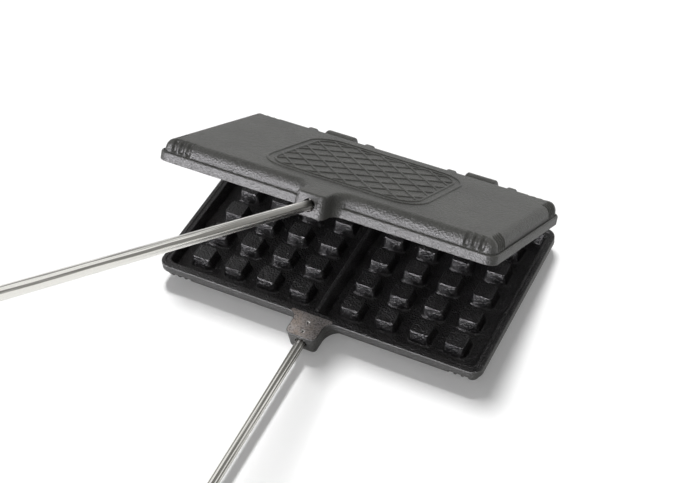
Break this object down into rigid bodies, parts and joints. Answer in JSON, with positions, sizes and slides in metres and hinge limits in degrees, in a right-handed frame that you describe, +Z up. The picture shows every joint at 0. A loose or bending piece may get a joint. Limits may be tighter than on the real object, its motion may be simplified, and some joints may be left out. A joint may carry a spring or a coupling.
{
  "type": "stovetop waffle iron",
  "caption": "Cast iron waffle iron in two hinged halves, studded inside, each with a long steel rod handle and a wooden grip, lying propped open.",
  "frame": {"origin": "centre of the lower half's flat underside", "axes": "+Z up as the iron lies on a table, +Y to the hinge at the back, -Y to the grips, +X to the right seen from the grips"},
  "size_m": [0.222, 0.7068, 0.4568],
  "materials": {
    "cast_iron": "seasoned, matt outside and oiled inside",
    "rod_steel": "bright drawn bar",
    "pin_steel": "spring steel",
    "grip_wood": "oiled, turned"
  },
  "bodies": {
    "lower": {"lower_plate": "cast_iron", "lower_rod": "rod_steel", "lower_ferrule": "rod_steel", "lower_grip": "grip_wood", "lower_ferrule_pin": "pin_steel", "lower_rear_spring_pin": "pin_steel", "lower_front_spring_pin": "pin_steel"},
    "upper": {"upper_plate": "cast_iron", "upper_rod": "rod_steel", "upper_ferrule": "rod_steel", "upper_grip": "grip_wood", "upper_ferrule_pin": "pin_steel", "upper_rear_spring_pin": "pin_steel", "upper_front_spring_pin": "pin_steel", "left_hinge_pin": "pin_steel", "right_hinge_pin": "pin_steel"}
  },
  "joints": [
    {"name": "hinge", "type": "hinge", "parent": "lower", "child": "upper", "pos_m": [0, 0.07633, 0.01364], "axis": [-1, 0, 0], "range_deg": [-32.4, 67.6]}
  ]
}
